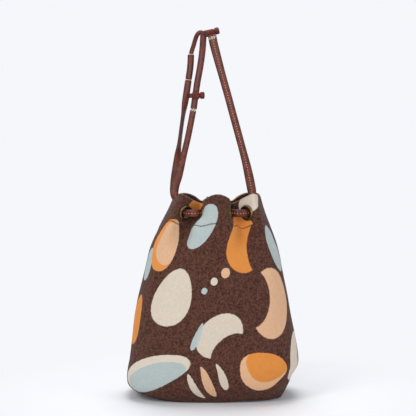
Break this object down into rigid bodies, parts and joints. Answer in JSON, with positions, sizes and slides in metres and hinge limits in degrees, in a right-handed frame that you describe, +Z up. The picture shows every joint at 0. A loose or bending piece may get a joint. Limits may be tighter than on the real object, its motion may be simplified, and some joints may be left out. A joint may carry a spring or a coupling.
{
  "type": "kinchaku drawstring pouch",
  "caption": "Gathered cloth drawstring pouch with a flat boxed base, brass eyelets, and leather drawcords that rise into a handle buttoned with leather knobs.",
  "frame": {"origin": "middle of the flat base, on the surface that the pouch stands on", "axes": "+Z up through the mouth, +X to the right as seen from the front, -Y towards the front"},
  "size_m": [0.2411, 0.1432, 0.5178],
  "materials": {
    "cloth": "coarse printed canvas",
    "brass": "aged, satin",
    "leather": "smooth, worn",
    "thread": "waxed thread"
  },
  "bodies": {
    "root": {"bag_body": "cloth", "eyelet_1": "brass", "eyelet_2": "brass", "eyelet_3": "brass", "eyelet_4": "brass", "eyelet_5": "brass", "eyelet_6": "brass", "eyelet_7": "brass", "eyelet_8": "brass", "eyelet_washer_1": "brass", "eyelet_washer_2": "brass", "eyelet_washer_3": "brass", "eyelet_washer_4": "brass", "eyelet_washer_5": "brass", "eyelet_washer_6": "brass", "eyelet_washer_7": "brass", "eyelet_washer_8": "brass", "front_cord": "leather", "back_cord": "leather", "long_tab": "leather", "cord_sleeve": "leather", "top_thong": "leather", "side_thong": "leather", "top_eye": "leather", "side_eye": "leather", "top_knob": "leather", "side_knob": "leather", "top_whipping": "thread", "lower_whipping": "thread", "sleeve_band_lower": "thread", "sleeve_band_upper": "thread"}
  },
  "joints": []
}
